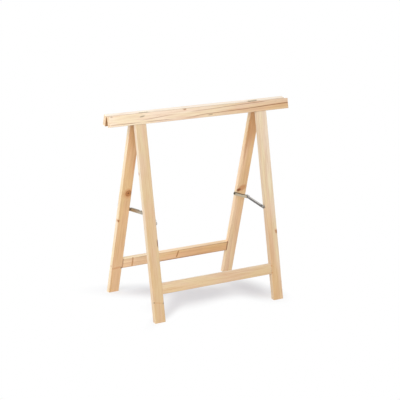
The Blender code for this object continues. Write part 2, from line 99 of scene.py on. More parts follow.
# %% [markdown]
# ## The camera
#
# The trestle was seen from the left and from a little above, with a long lens, so its upright lines
# hardly converge. The camera's place was worked out from the edges of the battens in the picture. Blender
# needs a place, a direction and a lens. A small roll is left over, because the real camera wasn't quite
# level.

# %% Put the camera where the picture was taken from
camera_place = Vector((-2.48211, -4.04674, 1.76719))
camera_target = Vector((0.0136, 0.0, 0.3819))
camera_roll = math.radians(1.39)
focal_pixels = 1300.36
image_pixels = 400
sensor_width = 36.0

camera_data = bpy.data.cameras.new("camera")
camera_data.sensor_width = sensor_width
camera_data.lens = sensor_width * focal_pixels / image_pixels
camera_data.clip_end = 60.0
camera = bpy.data.objects.new("camera", camera_data)
bpy.context.scene.collection.objects.link(camera)
camera.location = camera_place
camera.rotation_mode = "QUATERNION"
look = (camera_target - camera_place).to_track_quat("-Z", "Y")
camera.rotation_quaternion = look @ Quaternion((0, 0, 1), camera_roll)
bpy.context.scene.camera = camera
distance = (camera_target - camera_place).length
print("lens:", round(camera_data.lens, 1), "mm, distance:", round(distance, 2), "m")

# %% [markdown]
# ## Shader maths
#
# Node materials get long, and a formula is easier to read than twenty boxes. A small class wraps a
# socket, so that `1 - mask * 0.5` adds the Math nodes. Every other node comes from one method,
# `Graph.add`: the node's kind, then its settings, then the values or links of its sockets.

# %% A socket that does maths
class Signal:
    """A number, colour or vector that changes over a surface."""

    def __init__(self, graph, socket):
        self.graph = graph
        self.socket = socket

    def __add__(self, other):
        return self.graph.math("ADD", self, other)

    def __sub__(self, other):
        return self.graph.math("SUBTRACT", self, other)

    def __rsub__(self, other):
        return self.graph.math("SUBTRACT", other, self)

    def __mul__(self, other):
        return self.graph.math("MULTIPLY", self, other)

    def __truediv__(self, other):
        return self.graph.math("DIVIDE", self, other)

    def __pow__(self, other):
        return self.graph.math("POWER", self, other)

    def __abs__(self):
        return self.graph.math("ABSOLUTE", self)

    __radd__ = __add__
    __rmul__ = __mul__


# %% A node tree and the one method that adds to it
class Graph:
    """A node tree, of a material or of the world."""

    def __init__(self, tree):
        self.tree = tree
        tree.nodes.clear()

    def add(self, kind, settings=None, sockets=None, output=0):
        node = self.tree.nodes.new("ShaderNode" + kind)
        for name, value in (settings or {}).items():
            if name == "stops":
                set_stops(node.color_ramp, value)
            else:
                setattr(node, name, value)
        for name, value in (sockets or {}).items():
            if isinstance(value, Signal):
                self.tree.links.new(value.socket, node.inputs[name])
            else:
                node.inputs[name].default_value = value
        return Signal(self, node.outputs[output]) if node.outputs else node

    def between(self, value, start, end, low=0.0, high=1.0):
        """Goes smoothly from low at start to high at end."""
        spans = {0: value, 1: start, 2: end, 3: low, 4: high}
        return self.add("MapRange", {"interpolation_type": "SMOOTHSTEP"}, spans)

    def mix(self, share, first, second, blend="MIX"):
        """Mixes two colours."""
        settings = {"data_type": "RGBA", "blend_type": blend}
        return self.add("Mix", settings, {0: share, 6: first, 7: second}, output=2)

    def math(self, operation, *values):
        return self.add("Math", {"operation": operation}, dict(enumerate(values)))

    def most(self, first, *others):
        """The largest of several numbers."""
        for other in others:
            first = self.math("MAXIMUM", first, other)
        return first

    def vector(self, operation, *values, output=0):
        return self.add("VectorMath", {"operation": operation}, dict(enumerate(values)), output)

    def parts(self, vector):
        """The three numbers of a vector."""
        outputs = self.add("SeparateXYZ", None, {0: vector}).socket.node.outputs
        return [Signal(self, output) for output in outputs]

    def object_place(self):
        """Object coordinates, which are metres in the trestle's own frame."""
        return self.add("TexCoord", output=3)

    def noise(self, place, scale, detail=2.0, roughness=0.5):
        sockets = {"Vector": place, "Scale": scale, "Detail": detail, "Roughness": roughness}
        return self.add("TexNoise", None, sockets)


# %% Ramps, colours and new materials
def set_stops(ramp, stops):
    """Sets a ramp's stops. Each is a position and a grey value or a colour."""
    while len(ramp.elements) < len(stops):
        ramp.elements.new(1.0)
    for element, (position, value) in zip(ramp.elements, stops):
        element.position = position
        element.color = (value, value, value, 1.0) if isinstance(value, float) else value


def paint(red, green, blue):
    """Turns a colour as a screen shows it, from 0 to 255, into the light values that a shader needs."""
    shares = [part / 255 for part in (red, green, blue)]
    light = [part / 12.92 if part < 0.04045 else ((part + 0.055) / 1.055) ** 2.4 for part in shares]
    return (*light, 1.0)


def new_finish(name):
    """A material with an empty node tree."""
    material = bpy.data.materials.new(name)
    material.use_nodes = True
    return material, Graph(material.node_tree)


# %% [markdown]
# ## Floor, light and background
#
# The trestle stands on white paper that runs on into a white background. The paper is one large plane. It
# has to show the trestle's soft shadow and nothing else, so for the camera the matt paper is blended into
# a plain white glow, except in four soft ovals where the shadow of the legs and stretchers falls. Adding
# the glow to the paper would be simpler, but then the floor would be brighter than white, and such a
# floor eats into the edges of the battens in front of it. The world does the same: rays from the camera,
# mirror rays and clear rays see plain white, while the light that it sends out is weaker.

# %% Rays that see the background
def sees_background(graph):
    """1 for rays from the camera, from gloss and through glass, 0 for the rest."""
    path = graph.add("LightPath").socket.node.outputs
    rays = ("Is Camera Ray", "Is Glossy Ray", "Is Transmission Ray")
    return graph.most(*[Signal(graph, path[ray]) for ray in rays])


# %% The white floor
floor_size = 60.0
paper_tone = paint(244, 246, 252)
paper_speck = paint(240, 242, 248)
paper_grain = 900.0
least_glow = 0.019
# Middle, reach, turn, and the share that is darkest.
shadows = {
    "stretchers": ((0.011, -0.017, 0.0), (0.305, 0.117, 1.0), 0.19, 0.0),
    "right legs": ((0.227, -0.036, 0.0), (0.116, 0.238, 1.0), 0.203, 0.0),
    "left legs": ((-0.04, 0.065, 0.0), (0.425, 0.12, 1.0), -0.524, 0.037),
    "front left leg": ((-0.096, -0.029, 0.0), (0.05, 0.365, 1.0), -0.866, 0.046),
}

bpy.ops.object.select_all(action="DESELECT")
bpy.ops.mesh.primitive_plane_add(size=floor_size, location=(0, 0, cad_low.z))
floor = bpy.context.object
floor.name = "floor"
floor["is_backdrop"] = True

floor_material, graph = new_finish("white_paper")
place = graph.object_place()
tone = graph.mix(graph.noise(place, paper_grain, 3.0), paper_tone, paper_speck)
away = 1.0
for middle, reach, turn, core in shadows.values():
    laid = {"Location": middle, "Rotation": (0, 0, turn), "Scale": reach}
    share = graph.add("Mapping", {"vector_type": "TEXTURE"}, {"Vector": place, **laid})
    away = away * graph.between(graph.vector("LENGTH", share, output=1), core, 1.0)
glow_here = sees_background(graph) * (away * (1 - least_glow) + least_glow)
paper = graph.add("BsdfDiffuse", None, {"Color": tone})
glow = graph.add("Emission", None, {"Color": (1, 1, 1, 1), "Strength": 1.0})
seen = graph.add("MixShader", None, {0: glow_here, 1: paper, 2: glow})
graph.add("OutputMaterial", None, {"Surface": seen})
floor.data.materials.append(floor_material)
print("floor:", floor_size, "m wide, with", len(shadows), "soft shadows")

# %% The world
world_strength = 0.38

world = bpy.data.worlds.new("studio")
bpy.context.scene.world = world
world.use_nodes = True
graph = Graph(world.node_tree)
strength = graph.between(sees_background(graph), 0.0, 1.0, world_strength, 1.0)
sky = graph.add("Background", None, {"Color": (1, 1, 1, 1), "Strength": strength})
graph.add("OutputWorld", None, {"Surface": sky})
print("world strength:", world_strength)

# %% The lamps
lamp_aim = Vector((0, 0, 0.4))
lamp_plan = {
    "key": {"place": (-4.2, -1.8, 2.6), "size": 3.0, "power": 115.0},
    "front": {"place": (-1.3, -2.4, 1.5), "size": 1.0, "power": 17.0},
    "sky": {"place": (0.0, 0.2, 3.2), "size": 3.0, "power": 28.0},
}
for name, plan in lamp_plan.items():
    lamp_data = bpy.data.lights.new(name, "AREA")
    lamp_data.shape = "DISK"
    lamp_data.size = plan["size"]
    lamp_data.energy = plan["power"]
    lamp = bpy.data.objects.new(name, lamp_data)
    lamp.location = plan["place"]
    lamp.rotation_euler = (lamp_aim - lamp.location).to_track_quat("-Z", "Y").to_euler()
    bpy.context.scene.collection.objects.link(lamp)
    print("lamp", name, plan)

bpy.context.scene.view_settings.view_transform = "Standard"

# %% [markdown]
# ## Where the battens are
#
# Each frame was drawn hanging straight down from the hinge line and then leaned over. A batten is easiest
# to model, and its grain easiest to write, in that straight pose. The hinge joint of the record gives the
# line that everything hangs from, and half of its travel is the lean of one frame.

# %% The lean, and the straight box of a batten
fold = next(joint for joint in frame["joints"] if joint["name"] == "frame_fold")
hinge = Vector(fold["pos_m"])
lean = math.radians(fold["range_deg"][1] / 2)


def side_of(node):
    """-1 for the front frame, which stands at negative Y, and 1 for the rear one."""
    return -1 if "front" in node else 1


def straight_box(node):
    """Lowest and highest corner of a batten as it hangs straight, measured from the hinge line."""
    upright = Matrix.Rotation(-lean * side_of(node), 3, "X")
    points = [upright @ (vertex.co - hinge) for vertex in nodes[node].data.vertices]
    low = Vector([min(point[axis] for point in points) for axis in range(3)])
    high = Vector([max(point[axis] for point in points) for axis in range(3)])
    return low, high


def long_axis(low, high):
    """0 for a batten that lies along X, 2 for one that hangs down."""
    return 0 if high.x - low.x > high.z - low.z else 2


battens = [name for name in nodes if name.endswith(("_rail", "_leg", "_stretcher"))]
print("lean:", round(math.degrees(lean), 2), "degrees, battens:", len(battens))

# %% [markdown]
# ## Sawing and planing the battens
#
# A batten is planed on four sides, sawn to length, and its long edges are broken with a few strokes, so
# that they are rounded by about a millimetre and never quite evenly. In Blender it starts as a cube in
# the batten's straight place. The long edges are bevelled in three steps and the sawn ends are eased by
# almost a millimetre, which later draws the thin dark line where two battens meet. Then it is cut across
# every centimetre or so, leaned over with its frame, and a leg's foot is sawn level with the floor. A
# Displace modifier that acts only on the rounded edges wears them unevenly. A plain box with a Bevel
# modifier would be quicker, but all of its edges would look machined.

# %% Start a piece, and pick parts of it
import bmesh


def new_piece(add, name, **sizes):
    """Adds a primitive with nothing else selected, names it and opens it for editing."""
    bpy.ops.object.select_all(action="DESELECT")
    add(**sizes)
    piece = bpy.context.object
    piece.name = name
    piece.data.name = name
    bpy.ops.object.mode_set(mode="EDIT")
    return piece


def pick(piece, kind, wanted):
    """In edit mode, selects the VERT, EDGE or FACE parts that pass a test."""
    bpy.ops.mesh.select_mode(type=kind)
    bpy.ops.mesh.select_all(action="DESELECT")
    mesh = bmesh.from_edit_mesh(piece.data)
    parts = {"VERT": mesh.verts, "EDGE": mesh.edges, "FACE": mesh.faces}[kind]
    chosen = [part for part in parts if wanted(part)]
    for part in chosen:
        part.select_set(True)
    bmesh.update_edit_mesh(piece.data)
    return len(chosen)


# %% Tests that tell the edges of a batten apart
nearly_along = 0.9
nearly_square = 0.01
wide_to_narrow = 4


def runs_along(run):
    """A test for edges that run along one axis."""

    def test(edge):
        first, second = (vertex.co for vertex in edge.verts)
        return abs((second - first).normalized()[run]) > nearly_along

    return test


def lies_across(run):
    """A test for edges that lie square to one axis."""

    def test(edge):
        first, second = (vertex.co for vertex in edge.verts)
        return abs((second - first).normalized()[run]) < nearly_square

    return test


def borders_flat(run):
    """A test for long edges between a wide planed face and the narrow faces of a rounded edge."""

    def test(edge):
        areas = sorted(face.calc_area() for face in edge.link_faces)
        return runs_along(run)(edge) and len(areas) == 2 and areas[1] > wide_to_narrow * areas[0]

    return test


# %% A straight batten with rounded edges and eased ends
arris = 0.0011
arris_steps = 3
end_ease = 0.0008
cut_every = 0.012
foot_spare = 0.006


def planed_batten(node, low, high):
    """The batten as it comes off the planer, hanging straight, with cuts across it."""
    run = long_axis(low, high)
    piece = new_piece(bpy.ops.mesh.primitive_cube_add, node + "_batten", size=1)
    bpy.ops.transform.resize(value=high - low)
    bpy.ops.transform.translate(value=(low + high) / 2)
    pick(piece, "EDGE", runs_along(run))
    bpy.ops.mesh.bevel(offset=arris, segments=arris_steps, affect="EDGES")
    pick(piece, "EDGE", lies_across(run))
    bpy.ops.mesh.bevel(offset=end_ease, segments=1, affect="EDGES")
    pick(piece, "EDGE", runs_along(run))
    bpy.ops.mesh.subdivide(number_cuts=round((high - low)[run] / cut_every))
    pick(piece, "EDGE", borders_flat(run))
    bpy.ops.mesh.mark_sharp()
    return piece


# %% The worn edges
edge_wear = 0.0004
inner_rows = 0.8
edge_wear_texture = bpy.data.textures.new("edge_wear", "CLOUDS")
edge_wear_texture.noise_scale = 0.03
edge_wear_texture.noise_depth = 2


def on_arris(low, high):
    """A test for the inner rows of points on the rounded long edges."""
    sides = [axis for axis in range(3) if axis != long_axis(low, high)]

    def test(vertex):
        reach = max(min(vertex.co[axis] - low[axis], high[axis] - vertex.co[axis]) for axis in sides)
        return reach < inner_rows * arris

    return test


def wear_edges(piece):
    """Takes up to four tenths of a millimetre off the edges that were kept as a vertex group."""
    modifier = piece.modifiers.new("edge_wear", "DISPLACE")
    modifier.texture = edge_wear_texture
    modifier.texture_coords = "LOCAL"
    modifier.vertex_group = piece.vertex_groups[0].name
    modifier.mid_level = 0.0
    modifier.strength = -edge_wear
    bpy.ops.object.modifier_apply(modifier=modifier.name)


# %% Lean a batten over, and saw the foot of a leg
foot_ease = 0.0004
floor_reach = 1e-5


def lean_over(node):
    """Turns the open piece with its frame. With no window the operator turns the other way."""
    bpy.ops.mesh.select_all(action="SELECT")
    bpy.ops.transform.rotate(value=-lean * side_of(node), orient_axis="X", center_override=(0, 0, 0))
    bpy.ops.transform.translate(value=hinge)


def saw_foot(piece):
    """Cuts a leg level with the floor and eases the new edge."""
    bpy.ops.mesh.bisect(plane_co=(0, 0, cad_low.z), plane_no=(0, 0, 1), use_fill=True, clear_inner=True)
    on_floor = cad_low.z + floor_reach
    pick(piece, "EDGE", lambda edge: all(vertex.co.z < on_floor for vertex in edge.verts))
    bpy.ops.mesh.bevel(offset=foot_ease, segments=1, affect="EDGES")


# %% Finish a piece and hand it to the frame
merge_below = 1e-6
smooth_below = 40


def close_piece(piece):
    """Leaves edit mode with merged points, outward faces and smooth shading below an angle."""
    bpy.ops.mesh.select_all(action="SELECT")
    bpy.ops.mesh.remove_doubles(threshold=merge_below)
    bpy.ops.mesh.normals_make_consistent(inside=False)
    bpy.ops.object.mode_set(mode="OBJECT")
    bpy.ops.object.shade_smooth_by_angle(angle=math.radians(smooth_below))


def hand_over(piece, node):
    """The piece stands for a CAD node and moves with that node's body."""
    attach(piece, body_of(nodes[node])[0])
    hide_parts(node)


# %% Make all the battens
finished = {}
for node in battens:
    low, high = straight_box(node)
    if node.endswith("_leg"):
        low.z -= foot_spare
    piece = planed_batten(node, low, high)
    pick(piece, "VERT", on_arris(low, high))
    bpy.ops.object.vertex_group_assign_new()
    lean_over(node)
    if node.endswith("_leg"):
        saw_foot(piece)
    close_piece(piece)
    wear_edges(piece)
    hand_over(piece, node)
    finished[node] = piece
    print(piece.name, len(piece.data.polygons), "faces")

# %% [markdown]
# ## Pine
#
# The battens are sawn from young, fast grown softwood and left bare. What the eye reads as grain is one
# solid thing: growth rings, which are cones round the heart of the tree, and which the saw cuts at
# different angles. On a wide face they show as long lines and flames, on an edge as close stripes, on the
# sawn end as arcs. A picture wrapped round a box never agrees at the corners, so here the rings are
# worked out in space, in metres from the middle of the batten. The distance from the heart gives the
# ring. Each ring goes slowly from pale spring wood to a darker autumn line and stops sharply, and some
# years are darker than others.

# %% Colours of the wood
cream = paint(255, 243, 222)
honey = paint(238, 205, 165)
autumn = paint(206, 148, 96)
heartwood = paint(238, 180, 122)
rosy = paint(255, 245, 240)
straw = paint(255, 250, 236)
# The colour of single dark years, also used for painted shade in the joints at the ends of the rear
# stretcher.
grain_line_and_joint_shade = paint(160, 98, 62)
# Painted shade for the gap between the two rails.
painted_gap_shade = paint(168, 118, 70)
sawn_end = paint(238, 204, 160)
edge_tone = paint(192, 160, 122)
resin = paint(150, 96, 54)
smudge = paint(112, 94, 68)
knot_rim = paint(124, 64, 28)
knot_wood = paint(196, 130, 70)
knot_heart = paint(150, 84, 36)
knot_stain = paint(216, 150, 92)


# %% Coordinates inside one batten
class Cut:
    """Where a point is inside a batten, in metres from its middle."""

    def __init__(self, graph, node):
        low, high = straight_box(node)
        self.graph = graph
        self.side = side_of(node)
        self.middle = (low + high) / 2
        self.half = (high - low) / 2
        self.long = long_axis(low, high)
        turn = lean * self.side
        here = Matrix.Rotation(turn, 3, "X") @ self.middle + hinge
        self.world = graph.object_place()
        hung = {"Vector": self.world, "Location": here, "Rotation": (turn, 0, 0)}
        self.place = graph.add("Mapping", {"vector_type": "TEXTURE"}, hung)
        parts = graph.parts(self.place)
        self.along = parts[self.long]
        self.across = parts[2 - self.long]
        self.through = parts[1]

    def drawn_out(self, share, shift):
        """The same place, squeezed along the grain, so that a noise comes out as long streaks."""
        scale = [1.0, 1.0, 1.0]
        scale[self.long] = share
        return self.graph.vector("MULTIPLY_ADD", self.place, scale, (shift, 1.7 * shift, -0.6 * shift))

    def spot(self, x, out, drop):
        """From metres along X, outwards from the hinge plane and down from the hinge line."""
        return Vector((x, self.side * out, -drop)) - self.middle


# %% [markdown]
# ### Growth rings
#
# A tree isn't round, so the distance from the heart is bent by one slow noise and rippled by a finer one.
# In the front rail the grain climbs from the lower edge on the left to the middle on the right. The climb
# is written as a smooth path along the rail, and all its rings are shifted by that path. The few dark
# years that can be seen from afar are drawn one by one, each along a path of its own, because no place of
# the heart would put all of them where they are.

# %% Distance from the heart of the tree
bend_size = 0.011
bend_scale = 9.0
ripple_size = 0.0011
ripple_scale = 70.0
usual_drift = 0.02


def heart_distance(cut, plan):
    """How far each point was from the middle of the trunk."""
    graph = cut.graph
    seed = plan["seed"]
    bend = graph.noise(cut.drawn_out(0.3, seed + 1.0), bend_scale, 1.0)
    ripple = graph.noise(cut.drawn_out(0.12, seed + 2.0), ripple_scale, 2.0)
    drift = cut.along * plan.get("drift", usual_drift)
    beside = cut.across - plan["heart"][0] + (bend - 0.5) * bend_size + drift
    if "path" in plan:
        beside = beside + rise_along(cut, plan["path"])
    behind = cut.through - plan["heart"][1]
    return (beside * beside + behind * behind) ** 0.5 + (ripple - 0.5) * ripple_size


def rise_along(cut, path):
    """A smooth curve along the batten. A stop is a place and a share of the face from its top."""
    place = cut.along / (2 * cut.half[cut.long]) + 0.5
    share = cut.graph.add("ValToRGB", {"stops": path}, {0: place})
    share.socket.node.color_ramp.interpolation = "B_SPLINE"
    return (share - 0.5) * (2 * cut.half[2 - cut.long])


# %% From distance to the colour of a year
year_width = 0.0034
year_stops = ((0.0, 0.4), (0.07, 0.0), (0.45, 0.05), (0.76, 0.42), (0.92, 1.0), (1.0, 0.55))
faintest_year = 0.3
fade_scale = 14.0


def year_lines(cut, plan, distance):
    """The dark autumn wood of each year, stronger in some years."""
    graph = cut.graph
    count = distance / year_width + plan.get("phase", 0.0)
    line = graph.add("ValToRGB", {"stops": year_stops}, {0: graph.math("FRACT", count)})
    number = graph.math("FLOOR", count) + plan["seed"]
    year = graph.add("TexWhiteNoise", {"noise_dimensions": "1D"}, {"W": number})
    strength = year * year * (1 - faintest_year) + faintest_year
    fade = graph.noise(cut.drawn_out(0.25, plan["seed"] + 6.0), fade_scale, 1.0)
    strength = strength * graph.between(fade, 0.3, 0.62, 0.45, 1.0)
    return line * strength


# %% Single dark years that can be seen from afar
loud_ripple_scale = 60.0
loud_core = 0.25


def loud_lines(cut, plan):
    """Thin sheets of dark autumn wood, each along a path of its own."""
    graph = cut.graph
    loud = 0.0
    ripple = graph.noise(cut.drawn_out(0.15, plan["seed"] + 9.0), loud_ripple_scale, 2.0)
    ripple = (ripple - 0.5) * ripple_size
    place = cut.along / (2 * cut.half[cut.long]) + 0.5
    for line in plan.get("lines", ()):
        off = abs(cut.across + rise_along(cut, line["path"]) + ripple)
        dark = graph.add("ValToRGB", {"stops": line["dark"]}, {0: place})
        near = graph.between(off, line["width"] * loud_core, line["width"], 1.0, 0.0)
        loud = graph.most(near * dark, loud)
    return loud


# %% [markdown]
# ### Knots and marks
#
# A knot is a branch that the saw went through: a rod that runs out from the heart, with rings of its own,
# dark at its rim, and with an orange stain round it where the rings swell to let it pass. Where the
# branch lies along the face it shows as a spike. So a knot here is a line in space with a thickness, and
# the saw decides what is seen. Grey smudges, stains and brown streaks are drawn the same way, as flat
# ovals that sit in the wood, and so are a few patches of painted shade.

# %% How near a point is to a branch
usual_squeeze = 0.75
bark_scale = 260.0
bark_unevenness = 0.6


def branch_distance(cut, knot):
    """Distance from the middle line of a branch, as a share of its thickness."""
    graph = cut.graph
    way = Vector(knot["way"]).normalized()
    off = graph.vector("SUBTRACT", cut.place, cut.spot(*knot["spot"]))
    reach = graph.vector("DOT_PRODUCT", off, way, output=1)
    lengthwise = graph.add("VectorMath", {"operation": "SCALE"}, {0: way, 3: reach})
    beside = graph.vector("SUBTRACT", off, lengthwise)
    squeeze = [1.0, 1.0, 1.0]
    squeeze[cut.long] = knot.get("squeeze", usual_squeeze)
    flat = graph.vector("MULTIPLY", beside, squeeze)
    uneven = (graph.noise(cut.place, bark_scale, 2.0) - 0.5) * bark_unevenness
    near = graph.vector("LENGTH", flat, output=1) / knot["size"] + uneven
    if "ends" in knot:
        near = near + graph.between(abs(reach), knot["ends"], knot["ends"] * 1.5, 0.0, 4.0)
    return near


# %% Add up all the knots of a batten
def knot_masks(cut, knots):
    """How far the rings swell, and where there is stain, knot wood and a dark rim."""
    graph = cut.graph
    swell, stain, wood, rim = 0.0, 0.0, 0.0, 0.0
    for knot in knots:
        near = branch_distance(cut, knot)
        dark = knot["dark"]
        year = graph.between(abs(graph.math("FRACT", near * 4.0) - 0.5), 0.5, 0.2, 0.3 * dark, 0.0)
        bark = graph.between(abs(near - 0.9), 0.05, 0.35, knot.get("rim", 0.8 * dark), 0.0)
        pith = graph.between(near, 0.12, 0.5, knot.get("pith", dark), 0.0)
        inside = graph.between(near, 0.85, 1.1, 1.0, 0.0)
        swell = graph.between(near, 0.4, 3.4, knot["size"] * 0.5, 0.0) + swell
        stain = graph.most(graph.between(near, 0.9, knot.get("halo", 2.4), dark, 0.0), stain)
        wood = graph.most(inside * min(1.0, 1.1 * dark), wood)
        rim = graph.most(inside * year, bark, pith, rim)
    return {"swell": swell, "stain": stain, "wood": wood, "rim": rim}


# %% Flat marks: smudges, stains, streaks and painted shade
mark_scale = 420.0
mark_unevenness = 0.5


def marked(cut, tone, marks):
    """Lays oval marks with ragged edges over a colour."""
    graph = cut.graph
    for mark in marks:
        off = graph.vector("SUBTRACT", cut.place, cut.spot(*mark["spot"]))
        turn = (0, math.radians(-mark["rise"]), 0)
        turned = graph.add("Mapping", {"vector_type": "TEXTURE"}, {"Vector": off, "Rotation": turn})
        share = graph.vector("LENGTH", graph.vector("DIVIDE", turned, mark["reach"]), output=1)
        share = share + (graph.noise(cut.place, mark_scale, 2.0) - 0.5) * mark_unevenness
        mask = graph.between(share, 0.5, 1.15, mark["dark"], 0.0)
        tone = graph.mix(mask, tone, mark["tone"])
    return tone


# %% [markdown]
# ### The surface of the pine
#
# Over the rings go the fibres: long fine streaks, short brown dashes where a resin canal was cut open,
# and broad changes between paler sapwood and warmer wood, which also run along the batten. The sawn ends
# drink more light and are a little darker, with arcs instead of lines. The planed face is dull, a bit
# smoother on the dense autumn lines, and everything that is seen in the colour is also felt very slightly
# in the bump.

# %% Tone of bare wood
broad_scale = 26.0
hue_scale = 40.0
strip_start = 0.0008
strip_full = 0.0002
usual_contrast = 0.45


def bare_tone(cut, plan, lines):
    """Sapwood to heartwood, year lines and fibres."""
    graph = cut.graph
    seed = plan["seed"]
    broad = graph.noise(cut.drawn_out(0.12, seed + 5.0), broad_scale, 2.0)
    at_low, at_high = plan["warmth"]
    length = cut.half[cut.long]
    warm = graph.between(cut.along, -length, length, at_low, at_high) + (broad - 0.5) * 0.5
    width = cut.half[2 - cut.long]
    if "sap" in plan:
        toward, amount = plan["sap"]
        warm = warm + graph.between(cut.across * toward, -0.2 * width, width, 0.0, -amount)
    on_narrow = graph.between(abs(cut.across), width - strip_start, width - strip_full)
    # A narrow value stands partly for paler wood on the narrow sides and partly paints the light on them.
    if "narrow" in plan:
        warm = warm + on_narrow * plan["narrow"]
    tone = graph.mix(graph.between(warm, 0.0, 1.0), cream, honey)
    tone = graph.mix(graph.between(warm, 0.85, 1.8, 0.0, 0.8), tone, heartwood)
    tone = graph.mix(lines * plan.get("contrast", usual_contrast), tone, autumn)
    hue = graph.between(graph.noise(cut.drawn_out(0.2, seed + 8.0), hue_scale, 1.0), 0.35, 0.65)
    tone = graph.mix(1.0, tone, graph.mix(hue, rosy, straw), "MULTIPLY")
    # On the narrow sides a colour is mixed in: a painted sheen on tops, or painted shade on the sides of a
    # leg.
    if "narrow_tone" in plan:
        share, colour = plan["narrow_tone"]
        tone = graph.mix(on_narrow * share, tone, colour)
    # A tint brighter than white paints light on faces that turn away from the lamps.
    return graph.mix(1.0, tone, plan.get("tint", (1, 1, 1, 1)), "MULTIPLY")


# %% Fibres and resin canals
figure_scale = 150.0
streak_scale = 620.0
hair_scale = 2600.0
canal_scale = 1300.0


def fibres(cut, seed):
    """A broad figure, streaks two fibres wide, hair-fine ones, and short dark dashes."""
    graph = cut.graph
    figure = graph.noise(cut.drawn_out(0.05, seed + 10.0), figure_scale, 2.0, 0.6)
    streak = graph.noise(cut.drawn_out(0.025, seed + 3.0), streak_scale, 3.0, 0.6)
    hair = graph.noise(cut.drawn_out(0.02, seed + 4.0), hair_scale, 2.0, 0.6)
    canal = graph.noise(cut.drawn_out(0.05, seed + 7.0), canal_scale, 1.0)
    canal = graph.between(canal, 0.72, 0.8)
    return figure, streak, hair, canal


# %% Sawn ends and worn edges
ragged_scale = 180.0
ragged_depth = 0.0016


def end_mask(cut):
    """1 on the sawn ends and under the feet."""
    graph = cut.graph
    length = cut.half[cut.long]
    end = graph.between(abs(cut.along), length - 0.0004, length - 0.0001)
    height = graph.parts(cut.world)[2]
    foot = graph.between(height, cad_low.z + 0.0001, cad_low.z + 0.0003, 1.0, 0.0)
    return graph.most(end, foot)


def edge_mask(cut):
    """1 on the rounded long edges, broken up by a noise."""
    graph = cut.graph
    from_side = cut.half[2 - cut.long] - abs(cut.across)
    from_face = cut.half[1] - abs(cut.through)
    reach = graph.most(from_side, from_face)
    ragged = graph.noise(cut.drawn_out(0.3, 9.0), ragged_scale, 2.0) * ragged_depth
    return graph.between(reach - ragged, -0.0004, 0.0008, 1.0, 0.0)


def gap_shade_mask(cut):
    """1 on the face that looks at the other frame, where shade is painted into the gap between the rails.
    """
    depth = cut.through * cut.side + cut.half[1]
    below_arris = cut.graph.between(cut.half[2 - cut.long] - cut.across, 0.002, 0.006)
    return cut.graph.between(depth, 0.0004, 0.0009, 1.0, 0.0) * below_arris


# %% Pine for one batten
canal_stain = 0.45
edge_darkening = 0.45
felt_strength = 0.35
felt_depth = 0.0004


def pine(node, plan):
    """The whole finish of one batten."""
    material, graph = new_finish("pine_" + node)
    cut = Cut(graph, node)
    distance = heart_distance(cut, plan)
    knots = knot_masks(cut, plan.get("knots", ()))
    lines = year_lines(cut, plan, distance + knots["swell"])
    figure, streak, hair, canal = fibres(cut, plan["seed"])
    end = end_mask(cut)
    edge = edge_mask(cut)

    tone = bare_tone(cut, plan, lines)
    tone = graph.mix(graph.between(figure, 0.42, 0.68, 0.0, 0.26), tone, autumn)
    tone = graph.mix(graph.between(streak, 0.35, 0.75, 0.0, 0.16), tone, autumn)
    tone = graph.mix(graph.between(hair, 0.55, 0.8, 0.0, 0.2), tone, autumn)
    tone = graph.mix(canal * (1 - end) * canal_stain, tone, resin)
    tone = graph.mix(loud_lines(cut, plan), tone, grain_line_and_joint_shade)
    tone = graph.mix(knots["stain"], tone, knot_stain)
    tone = graph.mix(knots["wood"], tone, knot_wood)
    tone = graph.mix(knots["rim"], tone, knot_rim)
    tone = marked(cut, tone, plan.get("marks", ()))
    tone = graph.mix(end * graph.between(streak, 0.3, 0.7, 0.35, 0.75), tone, sawn_end)
    # The rounded long edges are made darker.
    tone = graph.mix(edge * edge_darkening, tone, edge_tone)
    # Painted shade on the face of a rail that looks at the other frame, in the gap between the rails.
    tone = graph.mix(gap_shade_mask(cut) * plan.get("inside", 0.0), tone, painted_gap_shade)

    relief = lines * 0.3 + streak * 0.45 + hair * 0.35 + canal * -0.5 + end * streak * 0.8
    felt = {"Strength": felt_strength, "Distance": felt_depth, "Height": relief}
    bump = graph.add("Bump", None, felt)
    rough = 0.6 + streak * 0.12 - lines * 0.1 + end * 0.15 - edge * 0.06
    sockets = {"Base Color": tone, "Roughness": rough, "Normal": bump, "IOR": 1.45}
    surface = graph.add("BsdfPrincipled", None, sockets)
    graph.add("OutputMaterial", None, {"Surface": surface})
    return material


# %% [markdown]
# ### What each batten looks like
#
# No two battens come from the same place in the tree. A plan gives the place of the heart, measured
# across the batten and through it from its middle, how warm the wood is at the two ends of the batten and
# which edge is paler sapwood. Then come the knots, the marks and the lines, which are single dark years.
# The narrow sides look paler or duller than the wide faces, partly from paler wood and partly from how the
# light falls, so two values change them alone: they paint a sheen on the tops of the rails and stretchers
# and shade on the sides of the front right leg. A tint shifts the whole batten a little, and on the rear
# battens it is brighter than white, which paints light on faces that turn away from the lamps. Inside
# paints shade on the face of a rail that looks at the other frame, in the gap between the rails. A spot is
# along X, outwards from the hinge plane and down from the hinge line, so it is found on the real batten
# with a ruler. The planed faces' own places come from the CAD model.

# %% Words for the plans
def branch(spot, way, size, dark, **more):
    """A knot: where the saw met the branch, which way it grew, its thickness and darkness."""
    return {"spot": spot, "way": way, "size": size, "dark": dark, **more}


def oval(spot, reach, dark, tone=smudge, rise=0):
    """A flat mark: its place, half its size each way, darkness, colour, and climb in degrees."""
    return {"spot": spot, "reach": reach, "dark": dark, "tone": tone, "rise": rise}


def dark_year(path, dark, width):
    """A single line: its path, its darkness from one end to the other, and half its width."""
    return {"path": path, "dark": dark, "width": width}


